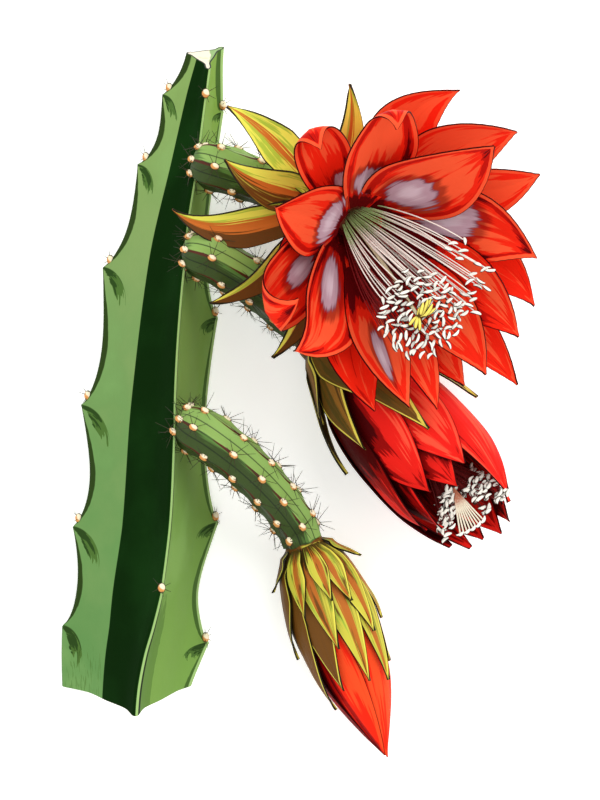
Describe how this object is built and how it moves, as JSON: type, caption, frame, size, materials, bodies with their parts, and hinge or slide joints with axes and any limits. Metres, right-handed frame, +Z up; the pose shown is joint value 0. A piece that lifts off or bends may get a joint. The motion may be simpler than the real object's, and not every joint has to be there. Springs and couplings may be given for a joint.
{
  "type": "flowering sun cactus cutting",
  "caption": "Cut piece of a ribbed sun cactus stem lying down, with an open scarlet bloom, a half open bloom and a bud on ribbed green flower tubes",
  "frame": {"origin": "middle of the underside of the box round the cutting, at the surface that it lies on", "axes": "+Y runs along the stem from its wide cut end to its narrow one, +X to the side that the flowers are on, +Z up from the surface"},
  "size_m": [0.1902, 0.2839, 0.1051],
  "materials": {
    "stem_green": "waxy green skin, satin",
    "tube_green": "ribbed green skin, satin",
    "bract_yellow": "yellow-green bract skin, satin",
    "bract_olive": "olive and brown bract skin, satin",
    "petal_scarlet": "scarlet petal, silky",
    "petal_crimson": "deep red petal, silky",
    "bud_red": "red petal, silky",
    "stamen_white": "white filament and pollen, matt",
    "anther_cream": "cream pollen, matt",
    "stigma_yellow": "pale yellow stigma, matt"
  },
  "bodies": {
    "root": {"stem": "stem_green", "open_bloom_tube": "tube_green", "second_bloom_tube": "tube_green", "bud_tube": "tube_green", "open_bloom_bracts": "bract_yellow", "second_bloom_bracts": "bract_olive", "bud_bracts": "bract_yellow", "open_bloom_petals": "petal_scarlet", "second_bloom_petals": "petal_crimson", "bud_petals": "bud_red", "open_bloom_stamens": "stamen_white", "open_bloom_pistil": "stigma_yellow", "second_bloom_stamens": "anther_cream"}
  },
  "joints": []
}
